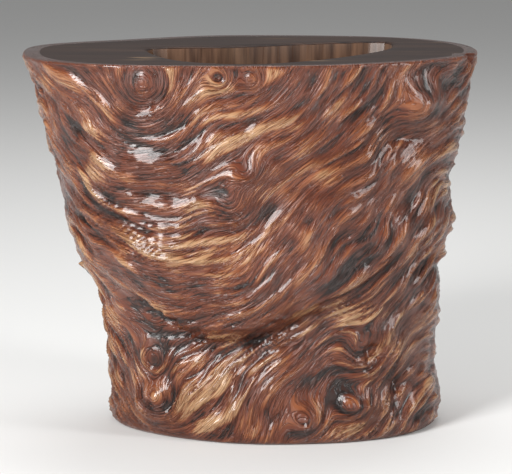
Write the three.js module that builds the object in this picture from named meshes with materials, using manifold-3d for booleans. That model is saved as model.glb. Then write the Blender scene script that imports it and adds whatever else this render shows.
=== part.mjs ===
// A brush pot carved from one block of burl root wood, and the turned plug that closes the bore in its floor.
// The trunk keeps the skin of the root: a heavy shelf across the front, bosses, ringed knots and long swells
// of grain. The rim is sawn flat and polished, and the hollow below it is cut with a gouge in upright flats.
// Millimetres, +Z up, front towards -Y. The pot stands on Z = 0 with the middle of its box over the origin.
import * as THREE from "three";
import { mergeVertices } from "three/addons/utils/BufferGeometryUtils.js";
import Module from "manifold-3d";

const manifold = await Module();
manifold.setup();

// The block
const potHeight = 200;
const potWidth = 241.5; // over the rim
const potDepth = 185;
// The size at which the reaches, outlines and places below were taken. They stretch with the block from it.
const taken = { height: 200, width: 241.5, depth: 185 };
const rimEase = 1.6; // radius of the softened arris round the rim
const footEase = 5; // radius of the rolled edge round the foot
const wallPoints = 104; // points round each ring of the trunk
const wallStep = 5; // height of one band of the trunk's faces
const rimSettle = 6; // height below the rim over which the relief dies away
const footSettle = 8; // height above the foot over which the relief grows

// How far the trunk reaches at each level. Levels are shares of the pot's height, reaches are coordinates.
const levels = [
  { at: 0.0, left: -77, right: 100, front: -67, back: 62 },
  { at: 0.08, left: -77, right: 102, front: -67, back: 63 },
  { at: 0.17, left: -78, right: 98.5, front: -67, back: 65 },
  { at: 0.3, left: -80.5, right: 100.5, front: -71, back: 69 },
  { at: 0.39, left: -85, right: 101, front: -77, back: 72 },
  { at: 0.47, left: -94, right: 101.5, front: -82, back: 76 },
  { at: 0.55, left: -99.5, right: 107.5, front: -84, back: 79 },
  { at: 0.66, left: -103.5, right: 105, front: -86, back: 82 },
  { at: 0.74, left: -107.5, right: 110.5, front: -87, back: 85 },
  { at: 0.84, left: -113, right: 113.5, front: -88, back: 88 },
  { at: 0.93, left: -116.5, right: 117, front: -90, back: 91 },
  { at: 1.0, left: -122, right: 119.5, front: -92, back: 93 },
];
// How full each corner of the plan is: 2 is an ellipse, more is squarer, less is flatter.
const rimCorners = { backRight: 2.5, backLeft: 1.5, frontLeft: 3.1, frontRight: 2.0 };
const footCorners = { backRight: 2.2, backLeft: 2.1, frontLeft: 1.8, frontRight: 2.2 };

// The shelf that hangs over the lower front. Its edge runs through these places, given across the front and up.
const shelfEdge = [
  { across: -84, up: 88 },
  { across: -66, up: 81 },
  { across: -50, up: 72 },
  { across: -34, up: 61 },
  { across: -14, up: 58 },
  { across: 8, up: 62 },
  { across: 28, up: 72 },
  { across: 60, up: 86 },
];
const shelfProud = 8; // how far the swell above the edge stands out
const shelfUndercut = 9; // how far the wall falls back below the edge
const shelfTurn = 11; // height over which the edge turns under
const shelfSwell = 32; // height of the swell above the edge
const shelfHollow = 22; // height of the hollow below the edge
const shelfFade = 0.6; // angle over which the shelf dies away at each end, in radians

// Rounded bosses. Wide and tall are measured on the skin, and turn leans the long axis anticlockwise.
const bosses = [
  { side: "front", across: -52, up: 18, wide: 34, tall: 32, proud: 8 },
  { side: "front", across: -56, up: 43, wide: 24, tall: 20, proud: 3 },
  { side: "front", across: 54, up: 20, wide: 26, tall: 24, proud: 7 },
  { side: "front", across: 28, up: 12, wide: 22, tall: 20, proud: 5 },
  { side: "front", across: 86, up: 178, wide: 42, tall: 34, proud: 7 },
  { side: "front", across: -40, up: 96, wide: 78, tall: 50, proud: 6, turn: -12 },
  { side: "front", across: -50, up: 149, wide: 60, tall: 24, proud: 3.5, turn: 6 },
  { side: "front", across: 34, up: 124, wide: 76, tall: 40, proud: 4, turn: 30 },
  { side: "front", across: -6, up: 138, wide: 36, tall: 46, proud: 3.5, turn: -20 },
  { side: "back", across: -60, up: 150, wide: 40, tall: 36, proud: 8 },
  { side: "back", across: 18, up: 112, wide: 58, tall: 40, proud: 7, turn: 20 },
  { side: "back", across: 64, up: 64, wide: 44, tall: 38, proud: 8 },
  { side: "back", across: -34, up: 38, wide: 36, tall: 34, proud: 7 },
  { side: "back", across: 20, up: 20, wide: 28, tall: 24, proud: 6 },
  { side: "back", across: 84, up: 154, wide: 30, tall: 40, proud: 5 },
];

// Knots with a raised collar round a sunk heart, both in shares of the knot's size
const collarMiddle = 0.62;
const collarWidth = 0.28;
const heartWidth = 0.3;
const heartDepth = 0.8;
const knots = [
  { side: "front", across: 63, up: 48, wide: 38, tall: 38, proud: 4 },
  { side: "front", across: -54, up: 181, wide: 42, tall: 34, proud: 2.4 },
  { side: "back", across: -8, up: 160, wide: 38, tall: 34, proud: 3.5 },
  { side: "back", across: 30, up: 58, wide: 30, tall: 30, proud: 3 },
];

// Swells are long ridges of grain, and furrows are long hollows between them.
const swells = [
  { side: "front", across: 54, up: 168, wide: 70, tall: 30, proud: 2.2, turn: 56 },
  { side: "front", across: 16, up: 154, wide: 80, tall: 26, proud: 2, turn: 36 },
  { side: "front", across: -76, up: 140, wide: 60, tall: 26, proud: 2, turn: -40 },
  { side: "front", across: 46, up: 92, wide: 90, tall: 28, proud: 3, turn: 24 },
  { side: "front", across: 6, up: 34, wide: 64, tall: 26, proud: 2.6, turn: 38 },
  { side: "front", across: 84, up: 112, wide: 56, tall: 24, proud: 2.6, turn: 8 },
  { side: "back", across: -70, up: 100, wide: 80, tall: 28, proud: 3, turn: 30 },
  { side: "back", across: 40, up: 142, wide: 90, tall: 26, proud: 2.6, turn: -24 },
  { side: "back", across: -20, up: 80, wide: 90, tall: 26, proud: 2.8, turn: -18 },
  { side: "back", across: -50, up: 58, wide: 60, tall: 26, proud: 2.4, turn: 48 },
];
const furrows = [
  { side: "front", across: -42, up: 136, wide: 76, tall: 18, proud: -3, turn: 6 },
  { side: "front", across: 78, up: 160, wide: 56, tall: 20, proud: -5, turn: 4 },
  { side: "front", across: 78, up: 27, wide: 20, tall: 30, proud: -4 },
  { side: "front", across: 16, up: 72, wide: 80, tall: 22, proud: -2.6, turn: 36 },
  { side: "front", across: 96, up: 96, wide: 44, tall: 18, proud: -2.4, turn: 6 },
  { side: "back", across: -30, up: 130, wide: 76, tall: 20, proud: -2.8, turn: 24 },
  { side: "back", across: 34, up: 92, wide: 80, tall: 20, proud: -2.8, turn: -14 },
  { side: "back", across: -76, up: 72, wide: 50, tall: 22, proud: -2.8, turn: 60 },
];

// The stub of a broken twig on the left side
const stub = { across: -86, depth: -14, up: 85, length: 14, base: 7, tip: 3.6, lean: 36, sides: 12 };

// A flat chip off the arris at the right of the front
const chip = { bearing: -14, wide: 12, deep: 2.6, tilt: 30, clear: 12 };

// The hollow. Both outlines run anticlockwise from the left tip, seen from above.
const mouthOutline = [
  [-54, 9],
  [-47, -38],
  [-31, -70],
  [-2, -83],
  [27, -66],
  [54, -30],
  [74, 14],
  [71, 48],
  [32, 38],
  [-15, 16],
];
const floorOutline = [
  [-44, 6],
  [-38, -24],
  [-22, -44],
  [2, -52],
  [26, -46],
  [50, -24],
  [66, 6],
  [62, 34],
  [30, 34],
  [-12, 24],
];
const floorThickness = 22;
const hollowFillet = 9; // radius between the hollow's wall and its floor
const gougeFlats = 46; // upright flats left round the hollow by the gouge

// The plug, pushed up from below into a stepped bore and glued
const plugCentre = [13, -6];
const plugSpigot = 62; // diameter of the part that shows in the floor of the hollow
const plugFlange = 74; // diameter of the shoulder that stops it
const flangeTop = 11; // height of the shoulder above the table
const glueGap = 0.3;
const footRecess = 2; // how far the plug and the ground round it are lifted off the table
const recessDiameter = 92;
const boreSides = 64;

const widthRatio = potWidth / taken.width;
const depthRatio = potDepth / taken.depth;
const heightRatio = potHeight / taken.height;
const placeRatios = { across: widthRatio, wide: widthRatio, depth: depthRatio, up: heightRatio, tall: heightRatio };
const sideRatios = { right: widthRatio, left: widthRatio, front: depthRatio, back: depthRatio };

// A feature stretched with the block.
function fitted(feature) {
  const entries = Object.entries(feature);
  return Object.fromEntries(
    entries.map(([key, value]) => [key, key in placeRatios ? value * placeRatios[key] : value]),
  );
}

const sides = Object.keys(sideRatios);
const reaches = new THREE.CubicInterpolant(
  levels.map((level) => level.at),
  levels.flatMap((level) => sides.map((side) => level[side] * sideRatios[side])),
  sides.length,
);

// Fullness of the plan at an angle, eased from corner to corner and from foot to rim.
function fullness(angle, share) {
  const corners = ["backRight", "backLeft", "frontLeft", "frontRight"];
  const turns = THREE.MathUtils.euclideanModulo(angle / (Math.PI / 2) - 0.5, 4);
  const from = corners[Math.floor(turns)];
  const to = corners[Math.ceil(turns) % 4];
  const ease = THREE.MathUtils.smoothstep(turns % 1, 0, 1);
  const at = (corner) => THREE.MathUtils.lerp(footCorners[corner], rimCorners[corner], share);
  return THREE.MathUtils.lerp(at(from), at(to), ease);
}

// The trunk's smooth wall, before any relief: its centre and its radius at an angle and a height.
function smoothWall(angle, up) {
  const share = THREE.MathUtils.clamp(up / potHeight, 0, 1);
  const [right, left, front, back] = reaches.evaluate(share);
  const halfWidth = (right - left) / 2;
  const halfDepth = (back - front) / 2;
  const power = fullness(angle, share);
  const across = Math.abs(Math.cos(angle)) / halfWidth;
  const deep = Math.abs(Math.sin(angle)) / halfDepth;
  return {
    x: (right + left) / 2,
    y: (back + front) / 2,
    radius: (across ** power + deep ** power) ** (-1 / power),
  };
}

// The angle at which the smooth wall is a given distance across the front or the back.
function bearing({ side, across, up }) {
  const facing = side === "back" ? 1 : -1;
  let low = 0;
  let high = Math.PI;
  for (let halvings = 0; halvings < 30; halvings++) {
    const middle = (low + high) / 2;
    const wall = smoothWall(facing * middle, up);
    if (wall.x + wall.radius * Math.cos(middle) > across) low = middle;
    else high = middle;
  }
  return facing * low;
}

// A feature with its place worked out as an angle, and its lean as a direction on the skin.
function placed(taken) {
  const feature = fitted(taken);
  const angle = bearing(feature);
  const turn = THREE.MathUtils.degToRad(feature.turn ?? 0);
  // Angles run anticlockwise from above, which is rightwards on the front and leftwards on the back.
  const lean = feature.side === "back" ? -turn : turn;
  return { ...feature, angle, cos: Math.cos(lean), sin: Math.sin(lean) };
}
const placedBosses = bosses.map(placed);
const placedKnots = knots.map(placed);
const placedSwells = [...swells, ...furrows].map(placed);

// The same direction as an angle from half a turn clockwise to half a turn anticlockwise.
const withinHalfTurn = (angle) => THREE.MathUtils.euclideanModulo(angle + Math.PI, 2 * Math.PI) - Math.PI;

// How far a point of the skin is from a feature's middle: 0 at the middle and 1 at its edge.
function spread(feature, angle, up, radius) {
  const along = withinHalfTurn(angle - feature.angle) * radius;
  const rise = up - feature.up;
  const u = (along * feature.cos + rise * feature.sin) / (feature.wide / 2);
  const v = (rise * feature.cos - along * feature.sin) / (feature.tall / 2);
  return Math.hypot(u, v);
}

// Heights of a boss and of a knot, for a distance from the middle in shares of the feature's size.
const dome = (away) => (away < 1 ? (1 - away * away) ** 2 : 0);
const bump = (away, width) => Math.exp(-((away / width) ** 2));
const collar = (away) => bump(away - collarMiddle, collarWidth) - heartDepth * bump(away, heartWidth);

const shelf = shelfEdge.map((place) => placed({ side: "front", ...place }));
const shelfHeights = new THREE.CubicInterpolant(
  shelf.map((place) => place.angle),
  shelf.map((place) => place.up),
  1,
);

// The shelf: a swell above its edge, a hollow below it, and both dying away at its two ends.
function shelfRelief(direction, up) {
  const angle = withinHalfTurn(direction);
  const first = shelf[0].angle;
  const last = shelf[shelf.length - 1].angle;
  const fadeIn = THREE.MathUtils.smoothstep(angle, first, first + shelfFade);
  const fadeOut = 1 - THREE.MathUtils.smoothstep(angle, last - shelfFade, last);
  const [edge] = shelfHeights.evaluate(THREE.MathUtils.clamp(angle, first, last));
  const rise = up - edge;
  const above = shelfProud * Math.exp(-((Math.max(rise, 0) / shelfSwell) ** 2));
  const below = -shelfUndercut * Math.exp(-((Math.min(rise, 0) / shelfHollow) ** 2));
  const turned = THREE.MathUtils.smoothstep(rise, -shelfTurn / 2, shelfTurn / 2);
  return fadeIn * fadeOut * THREE.MathUtils.lerp(below, above, turned);
}

// Everything that stands out of the smooth wall or sinks into it.
function relief(angle, up, radius) {
  let height = shelfRelief(angle, up);
  for (const boss of placedBosses) height += boss.proud * dome(spread(boss, angle, up, radius));
  for (const swell of placedSwells) height += swell.proud * dome(spread(swell, angle, up, radius));
  for (const knot of placedKnots) height += knot.proud * collar(spread(knot, angle, up, radius));
  return height;
}

// How far the rolled foot and the softened rim draw the wall in.
function edgeInset(up) {
  const foot = Math.max(0, footEase - up);
  const rim = Math.max(0, up - (potHeight - rimEase));
  return footEase - Math.sqrt(footEase ** 2 - foot ** 2) + rimEase - Math.sqrt(rimEase ** 2 - rim ** 2);
}

function wallPoint(angle, up) {
  const wall = smoothWall(angle, up);
  const belowRim = THREE.MathUtils.smoothstep(potHeight - up, 0, rimSettle);
  const settled = belowRim * THREE.MathUtils.smoothstep(up, -footSettle / 2, footSettle);
  const radius = wall.radius + settled * relief(angle, up, wall.radius) - edgeInset(up);
  return new THREE.Vector3(wall.x + radius * Math.cos(angle), wall.y + radius * Math.sin(angle), up);
}

// A closed solid through rings of equally many points, each ring above the one before, with a fan at each end.
function loft(rings) {
  const count = rings[0].length;
  const middles = [rings[0], rings[rings.length - 1]].map((ring) =>
    ring.reduce((sum, point) => sum.add(point), new THREE.Vector3()).divideScalar(count),
  );
  const points = [...rings.flat(), ...middles];
  const bottom = points.length - 2;
  const top = points.length - 1;
  const faces = [];
  for (let here = 0; here < count; here++) {
    const next = (here + 1) % count;
    faces.push(bottom, next, here);
    for (let ring = 0; ring < rings.length - 1; ring++) {
      const low = ring * count;
      const high = low + count;
      faces.push(low + here, low + next, high + next, low + here, high + next, high + here);
    }
    const last = (rings.length - 1) * count;
    faces.push(top, last + here, last + next);
  }
  return new THREE.BufferGeometry().setFromPoints(points).setIndex(faces);
}

// Heights of the trunk's rings: close together on the two rounded edges and even between them.
function ringHeights() {
  const roll = [0, 0.25, 0.5, 0.75].map((t) => footEase * (1 - Math.cos((t * Math.PI) / 2)));
  const rounding = [0.5, 0.75, 1].map((t) => potHeight - rimEase * (1 - Math.sin((t * Math.PI) / 2)));
  const plain = potHeight - footEase - rimEase;
  const bands = Math.round(plain / wallStep);
  const even = Array.from({ length: bands + 1 }, (_, band) => footEase + (plain * band) / bands);
  return [...roll, ...even, ...rounding];
}

function trunkBlank() {
  const ring = (up) =>
    Array.from({ length: wallPoints }, (_, step) => wallPoint((step * 2 * Math.PI) / wallPoints, up));
  return loft(ringHeights().map(ring));
}

// Evenly spaced points round a closed outline.
function outlinePoints(outline) {
  const knotsOfCurve = outline.map(([x, y]) => new THREE.Vector3(x * widthRatio, y * depthRatio, 0));
  return new THREE.CatmullRomCurve3(knotsOfCurve, true, "centripetal")
    .getSpacedPoints(gougeFlats)
    .slice(0, gougeFlats);
}

// The space inside the pot, from the floor to well above the rim. The gouge rounds it into the floor.
function hollowSpace() {
  const mouth = outlinePoints(mouthOutline);
  const floor = outlinePoints(floorOutline);
  const middle = floor.reduce((sum, point) => sum.add(point), new THREE.Vector3()).divideScalar(gougeFlats);
  const clear = 10;
  const ring = (up, inset) => {
    const share = (up - floorThickness) / (potHeight - floorThickness);
    return floor.map((point, step) => {
      const here = point.clone().lerp(mouth[step], share);
      const towards = middle.clone().sub(point).setLength(inset);
      return here.add(towards).setZ(up);
    });
  };
  const rounding = [0, 1 / 3, 2 / 3].map((t) =>
    ring(
      floorThickness + hollowFillet * (1 - Math.cos((t * Math.PI) / 2)),
      hollowFillet * (1 - Math.sin((t * Math.PI) / 2)),
    ),
  );
  return loft([...rounding, ring(floorThickness + hollowFillet, 0), ring(potHeight + clear, 0)]);
}

// A turned shape from half its section, standing on the plug's centre. The section runs up, then back to the axis.
function turned(section) {
  const geometry = new THREE.LatheGeometry(
    section.map(([radius, up]) => new THREE.Vector2(radius, up)),
    boreSides,
  );
  return geometry.rotateX(Math.PI / 2).translate(plugCentre[0], plugCentre[1], 0);
}

function steppedBore() {
  const below = -1;
  return turned([
    [0, below],
    [recessDiameter / 2, below],
    [recessDiameter / 2, footRecess],
    [plugFlange / 2, footRecess],
    [plugFlange / 2, flangeTop],
    [plugSpigot / 2, flangeTop],
    [plugSpigot / 2, floorThickness + hollowFillet],
    [0, floorThickness + hollowFillet],
  ]);
}

function plugBody() {
  const chamfer = 1;
  const flange = plugFlange / 2 - glueGap;
  const spigot = plugSpigot / 2 - glueGap;
  const shoulder = flangeTop - glueGap;
  return turned([
    [0, footRecess],
    [flange - chamfer, footRecess],
    [flange, footRecess + chamfer],
    [flange, shoulder],
    [spigot, shoulder],
    [spigot, floorThickness - chamfer],
    [spigot - chamfer, floorThickness],
    [0, floorThickness],
  ]);
}

// The twig stub: a short tapered peg that leans up and out of the left side, rooted inside the wall.
function twigStub() {
  const peg = new THREE.CylinderGeometry(stub.tip, stub.base, stub.length, stub.sides);
  peg.rotateX(Math.PI / 2);
  peg.rotateY(-THREE.MathUtils.degToRad(90 - stub.lean));
  const root = fitted(stub);
  return peg.translate(root.across, root.depth, root.up);
}

// A block whose inner face shaves the arris of the rim to a flat facet.
function rimChip() {
  const bearingOfChip = THREE.MathUtils.degToRad(chip.bearing);
  const arris = wallPoint(bearingOfChip, potHeight);
  const block = new THREE.BoxGeometry(chip.clear, chip.wide, chip.clear * 2);
  block.translate(chip.clear / 2 - chip.deep, 0, 0);
  block.rotateY(-THREE.MathUtils.degToRad(chip.tilt));
  block.rotateZ(bearingOfChip);
  return block.translate(arris.x, arris.y, arris.z);
}

function solidOf(geometry) {
  const bare = geometry.clone();
  bare.deleteAttribute("normal");
  bare.deleteAttribute("uv");
  const merged = mergeVertices(bare, 1e-4);
  return new manifold.Manifold(
    new manifold.Mesh({
      numProp: 3,
      vertProperties: new Float32Array(merged.attributes.position.array),
      triVerts: new Uint32Array(merged.index.array),
    }),
  );
}

function geometryOf(solid) {
  const mesh = solid.getMesh();
  const geometry = new THREE.BufferGeometry();
  geometry.setAttribute("position", new THREE.BufferAttribute(mesh.vertProperties, 3));
  geometry.setIndex(new THREE.BufferAttribute(mesh.triVerts, 1));
  geometry.computeVertexNormals();
  return geometry;
}

const burlWood = new THREE.MeshStandardMaterial({ color: 0x6b3a22, roughness: 0.3, metalness: 0 });
const plugWood = new THREE.MeshStandardMaterial({ color: 0x4a2a1a, roughness: 0.45, metalness: 0 });

const trunk = new THREE.Mesh(
  geometryOf(
    solidOf(trunkBlank())
      .add(solidOf(twigStub()))
      .subtract(solidOf(hollowSpace()))
      .subtract(solidOf(steppedBore()))
      .subtract(solidOf(rimChip())),
  ),
  burlWood,
);
trunk.name = "burl_trunk";

const plug = new THREE.Mesh(plugBody(), plugWood);
plug.name = "floor_plug";

// The trunk grows to no centre line, so the middle of its box is brought over the origin.
const pot = new THREE.Group();
pot.add(trunk, plug);
const middle = new THREE.Box3().setFromObject(pot).getCenter(new THREE.Vector3());
pot.position.set(-middle.x, -middle.y, 0);

export default pot;
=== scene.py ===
"""A brush pot of burl root wood: its grown skin, sawn rim and gouged hollow, and the turned plug in its floor."""
import math

import bmesh
import bpy
import numpy as np
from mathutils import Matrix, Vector, noise
from mathutils.bvhtree import BVHTree


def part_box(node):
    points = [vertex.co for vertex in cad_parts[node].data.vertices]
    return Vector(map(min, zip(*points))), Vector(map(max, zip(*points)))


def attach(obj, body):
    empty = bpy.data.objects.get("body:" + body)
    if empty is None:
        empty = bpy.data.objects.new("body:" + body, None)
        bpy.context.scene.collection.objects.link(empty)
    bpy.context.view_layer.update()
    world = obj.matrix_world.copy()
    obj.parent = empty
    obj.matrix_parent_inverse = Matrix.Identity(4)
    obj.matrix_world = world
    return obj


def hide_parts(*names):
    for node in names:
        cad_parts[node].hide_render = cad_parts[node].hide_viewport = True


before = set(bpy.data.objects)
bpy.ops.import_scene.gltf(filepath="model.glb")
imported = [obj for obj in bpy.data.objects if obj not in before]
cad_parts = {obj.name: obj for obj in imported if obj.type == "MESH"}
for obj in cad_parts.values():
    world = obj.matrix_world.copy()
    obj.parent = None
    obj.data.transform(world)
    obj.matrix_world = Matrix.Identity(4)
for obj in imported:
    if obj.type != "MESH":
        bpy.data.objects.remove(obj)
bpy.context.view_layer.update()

MM = 0.001
WELD = 1e-6  # metres within which points become one

# Heights of the trunk's rings, in mm
RIM_TOP = 200.0
FOOT_ROWS = [0.0, 0.4, 1.2, 2.5]
WALL_FROM, WALL_TO = 4.5, 198.0
WALL_ROWS = 150  # even rings between these two
RIM_ROWS = [198.6, 199.2, 199.7, RIM_TOP]
HOLLOW_ROWS = [*np.linspace(195, 32, 12), 28.5, 25.5, 23.4, 22.4]
PROBE_NUDGE = 0.05  # a ring at the very top or bottom is measured this far inside the solid

# The trunk's skin
AROUND = 500  # points round each ring
TREE_CENTRE = (0.0, 0.0)  # the outer wall is measured from here
RAY_START = 0.3  # metres, well outside the trunk
FACET_BLUR = 4.0  # mm over which the frame's facets are smoothed away
BLUR_MARGIN = 6  # mm over which the smoothing dies away at the rim and the foot
KEEP_FROM, KEEP_TO = 0.7, 1.8  # mm of lost detail at which the smoothing lets go, as at the twig stub and the chip
RIM_CALM, FOOT_CALM = 3.0, 4.0  # mm over which the ridges die away at the rim and the foot
RIDGE_SINK = 0.6  # mm by which the skin is sunk to leave room for its ridges
SKIN, RIM, HOLLOW = range(3)  # the trunk's materials, in their order

# The hollow and the plug
PLUG_CENTRE = (14.25 * MM, -6.5 * MM)
MOUTH_PROBE = 199 * MM
MOUTH_EASE = 0.8 * MM
RIM_SHARES = np.linspace(0.12, 0.96, 7)  # places of the rim's rings on the way from its outer edge to the mouth
FLOOR = 22 * MM
FLANGE_TOP = 11 * MM
SPIGOT_RADIUS = 31 * MM
RECESS = 2 * MM
GLUE_GAP = 0.3 * MM
PLUG_CHAMFER = 1 * MM
TURNING_STEPS = 96

# How the grain runs: heights in mm, turns in radians, sizes in mm
GRAIN_CLIMB, CLIMB_TURN = 60, 0.5  # it climbs and falls once round the pot
GRAIN_WAVE, WAVE_TURN = 25, 0.9  # and again twice round
GRAIN_DRIFT, DRIFT_SIZE = 20, 62
GRAIN_WOBBLE, WOBBLE_SIZE = 5, 24
EYE_END = 12  # an eye pulls no further than where the squared distance in its own radii is this

# Ridges along the grain: widths across it and heights, in mm
RIDGE_LENGTH = 22
BROAD_WIDTH, BROAD_HEIGHT = 8, 2.0
CLOSE_WIDTH, CLOSE_HEIGHT = 5, 3.2
TIGHT_WIDTH, TIGHT_HEIGHT = 3, 1.8
CREASE_LEVEL = 0.22  # middle of the folded noise
PIT_SIZE, PIT_HEIGHT = 11, 0.9
VIGOUR_SIZE = 38  # distance over which the ridges grow stronger and weaker

# Eyes of the grain: place across the front (or the back), height, radius and pull, in mm
FRONT_EYES = [
    (-54, 188, 17, 32),
    (63, 48, 13, 26),
    (-1, 146, 8, 12),
    (-8, 129, 11, 19),
    (-15, 193, 6, 10),
    (1, 193, 5, 8),
    (89, 174, 12, 22),
    (-51, 19, 13, 24),
    (-51, 40, 9, 14),
    (55, 20, 11, 20),
    (30, 13, 9, 16),
]
BACK_EYES = [
    (-8, 160, 15, 30),
    (30, 58, 13, 26),
    (-60, 150, 14, 24),
    (64, 64, 13, 24),
    (-34, 38, 12, 22),
    (70, 120, 10, 18),
]

# The stage, in metres
FLOOR_REACH = 12  # from the pot to each edge of the floor
WORLD_GREY = 0.3
LAMP_TARGET = (0, 0, 0.1)
LAMPS = [  # name, place, watts, width and height
    ("key", (-0.7, -1.05, 0.55), 26, 0.35, 0.9),
    ("fill", (1.2, -0.6, 0.5), 10, 0.3, 0.9),
    ("top", (0.1, 0.5, 1.4), 10, 0.9, 0.9),
]
CAMERA_PLACE = (2.75 * MM, -1340.5 * MM, 320 * MM)
CAMERA_TARGET = (2.75 * MM, -0.5 * MM, 99 * MM)
CAMERA_LENS, CAMERA_SENSOR = 177.5, 36  # mm, as Blender's camera takes them


def ring_of_rays(tree, centre, height, inward):
    """The ring of points that rays meet at one height, cast in from outside or out from the axis."""
    points = []
    for step in range(AROUND):
        angle = 2 * math.pi * step / AROUND
        heading = Vector((math.cos(angle), math.sin(angle), 0))
        axis = Vector((*centre, height))
        start = axis + heading * RAY_START if inward else axis
        hit = tree.ray_cast(start, -heading if inward else heading)[0]
        points.append((hit.x, hit.y, height))
    return np.array(points)


def blur_rows(grid, spread):
    """Smooths a grid that closes on itself sideways and ends at its first and last rows."""
    reach = int(math.ceil(2.5 * spread))
    weights = np.exp(-0.5 * (np.arange(-reach, reach + 1) / spread) ** 2)
    weights /= weights.sum()
    wide = np.pad(grid, ((0, 0), (reach, reach)), mode="wrap")
    wide = np.apply_along_axis(np.convolve, 1, wide, weights, "valid")
    tall = np.pad(wide, ((reach, reach), (0, 0)), mode="reflect", reflect_type="odd")
    return np.apply_along_axis(np.convolve, 0, tall, weights, "valid")


def smoothed(x, low, high):
    """Zero below the first limit, one above the second, and an even ease between them."""
    t = np.clip((x - low) / (high - low), 0, 1)
    return t * t * (3 - 2 * t)


def grain_height(point):
    """The height that a line of grain would have if it ran level: lines of grain are where this stays the same."""
    x, y, z = (value / MM for value in point)
    turn = math.atan2(x, -y)
    level = z - GRAIN_CLIMB * math.sin(turn - CLIMB_TURN) - GRAIN_WAVE * math.sin(2 * turn - WAVE_TURN)
    facing = FRONT_EYES if y < 0 else BACK_EYES
    for across, up, radius, pull in facing:
        away = ((x - across) ** 2 + (z - up) ** 2) / radius**2
        level += pull * math.exp(-away) if away < EYE_END else 0
    drift = noise.noise(Vector((x, y, z)) / DRIFT_SIZE)
    wobble = noise.noise(Vector((x, y, z)) / WOBBLE_SIZE + Vector((7, 3, 5)))
    return level + GRAIN_DRIFT * drift + GRAIN_WOBBLE * wobble


def ridge_height(point, level):
    """How far the ridges of the grain stand out, in mm."""
    x, y, z = (value / MM for value in point)
    along = Vector((x, y, z)) / RIDGE_LENGTH
    broad = noise.noise(Vector((level / BROAD_WIDTH, 0, 0)) + along)
    close = abs(noise.noise(Vector((level / CLOSE_WIDTH, 5, 2)) + along * 1.3)) - CREASE_LEVEL
    tight = abs(noise.noise(Vector((level / TIGHT_WIDTH, 1, 9)) + along * 1.8)) - CREASE_LEVEL
    pits = noise.noise(Vector((x, y, z)) / PIT_SIZE + Vector((3, 8, 1)))
    vigour = 0.8 + 0.7 * noise.noise(Vector((x, y, z)) / VIGOUR_SIZE + Vector((9, 1, 4)))
    return vigour * (BROAD_HEIGHT * broad + CLOSE_HEIGHT * close + TIGHT_HEIGHT * tight) + PIT_HEIGHT * pits


def outer_wall(tree):
    """The rings up the outer wall with the frame's facets smoothed away, their heights, and their radii in mm."""
    heights = np.concatenate([FOOT_ROWS, np.linspace(WALL_FROM, WALL_TO, WALL_ROWS), RIM_ROWS])
    probes = np.clip(heights, PROBE_NUDGE, RIM_TOP - PROBE_NUDGE)
    wall = np.array([ring_of_rays(tree, TREE_CENTRE, probe * MM, True) for probe in probes])
    wall[:, :, 2] = (heights * MM)[:, None]

    radius = np.hypot(wall[:, :, 0], wall[:, :, 1]) / MM
    body = slice(len(FOOT_ROWS), len(heights) - len(RIM_ROWS))
    row_step = (WALL_TO - WALL_FROM) / WALL_ROWS
    blurred = blur_rows(radius[body], FACET_BLUR / row_step)
    lost = np.abs(radius[body] - blurred)
    from_ends = np.minimum(heights[body] - WALL_FROM, WALL_TO - heights[body])
    share = (1 - smoothed(lost, KEEP_FROM, KEEP_TO)) * smoothed(from_ends, 0, BLUR_MARGIN)[:, None]
    smooth = radius.copy()
    smooth[body] = radius[body] * (1 - share) + blurred * share
    wall[:, :, :2] *= (smooth / radius)[:, :, None]
    return wall, heights, smooth


def ridged(wall, heights, radius):
    """The outer wall with its ridges, and the grain's level and the ridges' height at each point."""
    level = np.apply_along_axis(grain_height, 2, wall)
    ridges = np.array([[ridge_height(p, l) for p, l in zip(row, lv)] for row, lv in zip(wall, level)])
    calm = smoothed(RIM_TOP - heights, 0, RIM_CALM) * smoothed(heights, 0, FOOT_CALM)
    shown = ridges * calm[:, None]
    wall[:, :, :2] *= (1 + (shown - RIDGE_SINK * calm[:, None]) / radius)[:, :, None]
    low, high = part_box("burl_trunk")
    return np.clip(wall, np.array(low), np.array(high)), level, shown


def at_height(ring, height):
    """A copy of a ring, moved to another height."""
    moved = ring.copy()
    moved[:, 2] = height
    return moved


def hollow_rings(tree, mouth):
    """Rings from the eased mouth down the gouged wall to the floor."""
    wall = [ring_of_rays(tree, PLUG_CENTRE, height * MM, False) for height in HOLLOW_ROWS]
    return [at_height(mouth, RIM_TOP * MM - MOUTH_EASE), *wall]


def bore_rings(tree):
    """Rings down the stepped bore and out to the foot."""
    bore = ring_of_rays(tree, PLUG_CENTRE, (FLOOR + FLANGE_TOP) / 2, False)
    flange = ring_of_rays(tree, PLUG_CENTRE, (FLANGE_TOP + RECESS) / 2, False)
    recess = ring_of_rays(tree, PLUG_CENTRE, RECESS / 2, False)
    steps = [(bore, FLOOR), (bore, FLANGE_TOP), (flange, FLANGE_TOP), (flange, RECESS), (recess, RECESS)]
    return [at_height(ring, height) for ring, height in [*steps, (recess, 0.0)]]


def trunk_rings(tree):
    """Every ring of the trunk in order: up the wall, over the rim, down the hollow, through the bore and back."""
    wall, level, shown = ridged(*outer_wall(tree))
    mouth = ring_of_rays(tree, PLUG_CENTRE, MOUTH_PROBE, False)
    rim = [at_height(wall[-1] * (1 - share) + mouth * share, RIM_TOP * MM) for share in RIM_SHARES]
    inside = hollow_rings(tree, mouth) + bore_rings(tree)
    zones = [SKIN] * len(wall) + [RIM] * len(rim) + [HOLLOW] * len(inside)
    plain = np.zeros((len(rim) + len(inside), AROUND))
    rings = np.concatenate([wall, rim, inside])
    return rings, zones, np.concatenate([level, plain]), np.concatenate([shown, plain])


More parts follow.
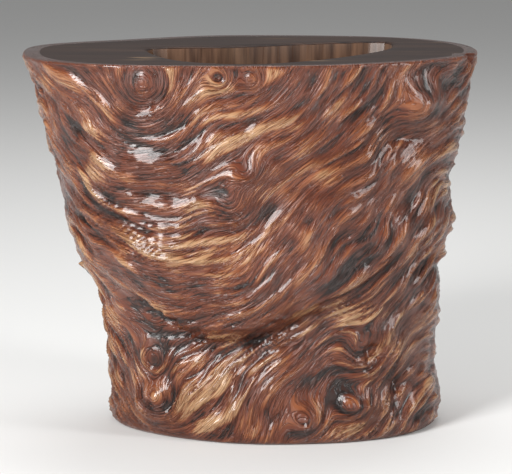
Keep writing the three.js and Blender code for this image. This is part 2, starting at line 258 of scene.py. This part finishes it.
def closed_grid(rings, values):
    """A ring-shaped mesh through rings of points, the last joined to the first, with numbers kept on its points."""
    rows, columns = rings.shape[:2]
    mesh = bmesh.new()
    bmesh.ops.create_grid(mesh, x_segments=columns, y_segments=rows, size=1)
    mesh.verts.ensure_lookup_table()
    layers = {key: mesh.verts.layers.float.new(key) for key in values}
    for index, vertex in enumerate(mesh.verts):
        row, column = divmod(index, columns + 1)
        vertex.co = rings[row % rows][column % columns]
        for key, layer in layers.items():
            vertex[layer] = values[key][row % rows][column % columns]
    return mesh


def finished(name, mesh, materials, nodes):
    """Turns a bmesh into a piece that rides on the frame and stands for its CAD nodes."""
    bmesh.ops.remove_doubles(mesh, verts=mesh.verts, dist=WELD)
    bmesh.ops.recalc_face_normals(mesh, faces=mesh.faces)
    data = bpy.data.meshes.new(name)
    mesh.to_mesh(data)
    mesh.free()
    for material in materials:
        data.materials.append(material)
    piece = bpy.data.objects.new(name, data)
    bpy.context.collection.objects.link(piece)
    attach(piece, "root")
    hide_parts(*nodes)


def make_trunk(materials):
    """The trunk, measured from its CAD node by rays and given the ridges of its grain."""
    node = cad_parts["burl_trunk"].data
    tree = BVHTree.FromPolygons([v.co for v in node.vertices], [tuple(p.vertices) for p in node.polygons])
    rings, zones, level, ridges = trunk_rings(tree)
    mesh = closed_grid(rings, {"grain": level, "relief": ridges})
    mesh.faces.ensure_lookup_table()
    for index, face in enumerate(mesh.faces):
        face.material_index = zones[index // AROUND]
        face.smooth = face.material_index != HOLLOW
    finished("burl_trunk_skin", mesh, materials, ["burl_trunk"])


def make_plug(material):
    """The plug, turned from its section."""
    low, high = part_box("floor_plug")
    flange = (high.x - low.x) / 2
    spigot = SPIGOT_RADIUS - GLUE_GAP
    shoulder = FLANGE_TOP - GLUE_GAP
    section = [
        (0, low.z),
        (flange - PLUG_CHAMFER, low.z),
        (flange, low.z + PLUG_CHAMFER),
        (flange, shoulder),
        (spigot, shoulder),
        (spigot, high.z - PLUG_CHAMFER),
        (spigot - PLUG_CHAMFER, high.z),
        (0, high.z),
    ]
    mesh = bmesh.new()
    chain = [mesh.verts.new((PLUG_CENTRE[0] + radius, PLUG_CENTRE[1], height)) for radius, height in section]
    edges = [mesh.edges.new(pair) for pair in zip(chain, chain[1:])]
    bmesh.ops.spin(
        mesh,
        geom=[*chain, *edges],
        cent=(*PLUG_CENTRE, 0),
        axis=(0, 0, 1),
        angle=2 * math.pi,
        steps=TURNING_STEPS,
        use_merge=True,
    )
    finished("floor_plug_turned", mesh, [material], ["floor_plug"])


class Socket:
    """A shader socket that takes part in sums. Each sum adds a Math node."""

    def __init__(self, shader, socket):
        self.shader = shader
        self.socket = socket

    def math(self, operation, first, second):
        settings = {"operation": operation}
        return self.shader.node("ShaderNodeMath", settings, {0: first, 1: second})

    def __add__(self, other):
        return self.math("ADD", self, other)

    def __radd__(self, other):
        return self.math("ADD", other, self)

    def __sub__(self, other):
        return self.math("SUBTRACT", self, other)

    def __rsub__(self, other):
        return self.math("SUBTRACT", other, self)

    def __mul__(self, other):
        return self.math("MULTIPLY", self, other)


class Finish:
    """One material with its Principled shader, and one method that adds any other node."""

    def __init__(self, name):
        self.material = bpy.data.materials.new(name)
        self.material.use_nodes = True
        self.tree = self.material.node_tree
        self.surface = self.tree.nodes["Principled BSDF"]

    def put(self, socket, value):
        if isinstance(value, Socket):
            self.tree.links.new(value.socket, socket)
        else:
            socket.default_value = value

    def node(self, kind, settings, sockets, output=0):
        made = self.tree.nodes.new(kind)
        for name, value in settings.items():
            setattr(made, name, value)
        for name, value in sockets.items():
            self.put(made.inputs[name], value)
        return Socket(self, made.outputs[output])

    def place(self):
        return self.node("ShaderNodeTexCoord", {}, {}, "Object")

    def number(self, name):
        return self.node("ShaderNodeAttribute", {"attribute_name": name}, {}, "Fac")

    def scaled(self, vector, by):
        settings = {"operation": "MULTIPLY"}
        return self.node("ShaderNodeVectorMath", settings, {0: vector, 1: by})

    def streaks(self, vector, w, detail):
        sockets = {"Vector": vector, "W": w, "Scale": 1.0, "Detail": detail, "Roughness": 0.55}
        return self.node("ShaderNodeTexNoise", {"noise_dimensions": "4D"}, sockets)

    def crease(self, pattern, width):
        """Zero along the lines where a noise pattern crosses its middle, and one away from them."""
        away = self.node("ShaderNodeMath", {"operation": "ABSOLUTE"}, {0: pattern - 0.5})
        return self.ranged(away, 0, width)

    def ranged(self, value, low, high):
        sockets = {"Value": value, "From Min": low, "From Max": high}
        return self.node("ShaderNodeMapRange", {"interpolation_type": "SMOOTHSTEP"}, sockets)

    def mixed(self, factor, first, second):
        settings = {"data_type": "RGBA"}
        return self.node("ShaderNodeMix", settings, {0: factor, 6: first, 7: second}, 2)

    def bump(self, height, distance, strength):
        sockets = {"Height": height, "Distance": distance, "Strength": strength}
        return self.node("ShaderNodeBump", {}, sockets)

    def finish(self, **sockets):
        for name, value in sockets.items():
            self.put(self.surface.inputs[name.replace("_", " ")], value)
        return self.material


def burl_skin():
    """The polished skin: red-brown wood with tan streaks and fine lines along the grain; its colour follows the
    relief, so painted shade darkens the furrows to near-black and the crests are painted lighter.
    """
    wood = Finish("burl_skin")
    place = wood.place()
    grain = wood.number("grain")
    ridges = wood.number("relief")
    broad = wood.streaks(wood.scaled(place, (40, 40, 40)), grain * 0.3, 3)
    fine = wood.streaks(wood.scaled(place, (55, 55, 55)), grain * 0.7, 2)
    stain = wood.streaks(wood.scaled(place, (22, 22, 22)), 3.0, 2)
    lines = wood.crease(broad, 0.035) * 0.5 + wood.crease(fine, 0.05) * 0.5
    height = wood.ranged(ridges, -1.6, 1.6)
    # Painted shade: the relief height darkens the colour in the furrows and lightens it on the crests; the broad
    # streaks and the lines add the grain.
    grain_and_painted_shade = height * 0.6 + broad * 0.4 + lines * 0.25 - 0.2
    dark_wood_and_painted_shade = wood.mixed(wood.ranged(grain_and_painted_shade, 0.15, 0.45), (0.008, 0.003, 0.002, 1), (0.1, 0.022, 0.008, 1))
    warm = wood.mixed(wood.ranged(grain_and_painted_shade, 0.44, 0.78), dark_wood_and_painted_shade, (0.22, 0.068, 0.023, 1))
    # Pale tan streaks from the stain, placed partly by the relief, so the crests are painted lighter.
    pale = wood.ranged(grain_and_painted_shade + stain * 0.7, 0.98, 1.3)
    colour = wood.mixed(pale, warm, (0.36, 0.205, 0.105, 1))
    rough = 0.34 - height * 0.14 + fine * 0.06
    bump = wood.bump(lines * 0.6 + fine * 0.6 + broad * 0.6, 1.2 * MM, 1.0)
    return wood.finish(
        Base_Color=colour,
        Roughness=rough,
        Normal=bump,
        Specular_IOR_Level=0.4,
        Coat_Weight=0.35,
        Coat_Roughness=0.1,
    )


def sawn_rim():
    """The rim: dark polished wood with fine straight streaks along the width."""
    wood = Finish("sawn_rim")
    place = wood.place()
    lines = wood.streaks(wood.scaled(place, (9, 420, 9)), 1.0, 3)
    patches = wood.streaks(wood.scaled(place, (16, 60, 16)), 4.0, 2)
    dark = wood.mixed(wood.ranged(lines, 0.35, 0.7), (0.012, 0.006, 0.005, 1), (0.05, 0.024, 0.015, 1))
    colour = wood.mixed(wood.ranged(patches + lines * 0.3, 0.78, 0.92), dark, (0.3, 0.19, 0.1, 1))
    bump = wood.bump(lines, 0.2 * MM, 0.4)
    return wood.finish(Base_Color=colour, Roughness=0.5 - lines * 0.1, Normal=bump, Specular_IOR_Level=0.12)


def gouged_hollow():
    """The hollow: waxed brown wood with upright streaks left by the gouge."""
    wood = Finish("gouged_hollow")
    place = wood.place()
    lines = wood.streaks(wood.scaled(place, (260, 260, 18)), 2.0, 3)
    stain = wood.streaks(wood.scaled(place, (22, 22, 12)), 6.0, 2)
    dark = wood.mixed(wood.ranged(lines, 0.3, 0.7), (0.045, 0.022, 0.014, 1), (0.16, 0.085, 0.05, 1))
    colour = wood.mixed(wood.ranged(stain, 0.5, 0.75), dark, (0.26, 0.17, 0.11, 1))
    bump = wood.bump(lines, 0.3 * MM, 0.4)
    return wood.finish(Base_Color=colour, Roughness=0.3 + lines * 0.12, Normal=bump)


def turned_wood():
    """The plug: plain darker wood whose grain runs across it, with fine turning rings."""
    wood = Finish("turned_wood")
    place = wood.place()
    lines = wood.streaks(wood.scaled(place, (30, 380, 30)), 5.0, 3)
    colour = wood.mixed(wood.ranged(lines, 0.3, 0.7), (0.05, 0.022, 0.012, 1), (0.17, 0.08, 0.04, 1))
    bump = wood.bump(lines, 0.2 * MM, 0.3)
    return wood.finish(Base_Color=colour, Roughness=0.42 + lines * 0.1, Normal=bump)


def make_stage():
    """A wide pale floor, flat all round so that the pot shows from every side."""
    finish = Finish("pale_floor")
    finish.finish(Base_Color=(0.78, 0.78, 0.77, 1), Roughness=0.9, Specular_IOR_Level=0.1)
    mesh = bmesh.new()
    bmesh.ops.create_grid(mesh, x_segments=1, y_segments=1, size=FLOOR_REACH)
    data = bpy.data.meshes.new("pale_floor")
    mesh.to_mesh(data)
    mesh.free()
    data.materials.append(finish.material)
    floor = bpy.data.objects.new("pale_floor", data)
    bpy.context.collection.objects.link(floor)


def aimed(thing, place, target):
    """Puts a lamp or a camera in its place, turned to its target."""
    thing.location = place
    thing.rotation_mode = "QUATERNION"
    thing.rotation_quaternion = (Vector(target) - Vector(place)).to_track_quat("-Z", "Y")
    bpy.context.collection.objects.link(thing)
    return thing


def make_lights():
    """Three soft lamps, and an even grey light from all round."""
    for name, place, power, width, height in LAMPS:
        lamp = bpy.data.lights.new(name, "AREA")
        lamp.shape = "RECTANGLE"
        lamp.energy = power
        lamp.size = width
        lamp.size_y = height
        aimed(bpy.data.objects.new(name, lamp), place, LAMP_TARGET)
    world = bpy.data.worlds.new("studio")
    world.use_nodes = True
    world.node_tree.nodes["Background"].inputs["Color"].default_value = (WORLD_GREY, WORLD_GREY, WORLD_GREY, 1)
    bpy.context.scene.world = world


def make_camera():
    """The camera that took the photograph, as fitted to the rim and the foot."""
    lens = bpy.data.cameras.new("camera")
    lens.lens = CAMERA_LENS
    lens.sensor_width = CAMERA_SENSOR
    bpy.context.scene.camera = aimed(bpy.data.objects.new("camera", lens), CAMERA_PLACE, CAMERA_TARGET)


make_trunk([burl_skin(), sawn_rim(), gouged_hollow()])
make_plug(turned_wood())
make_stage()
make_lights()
make_camera()
bpy.context.scene.view_settings.view_transform = "Standard"
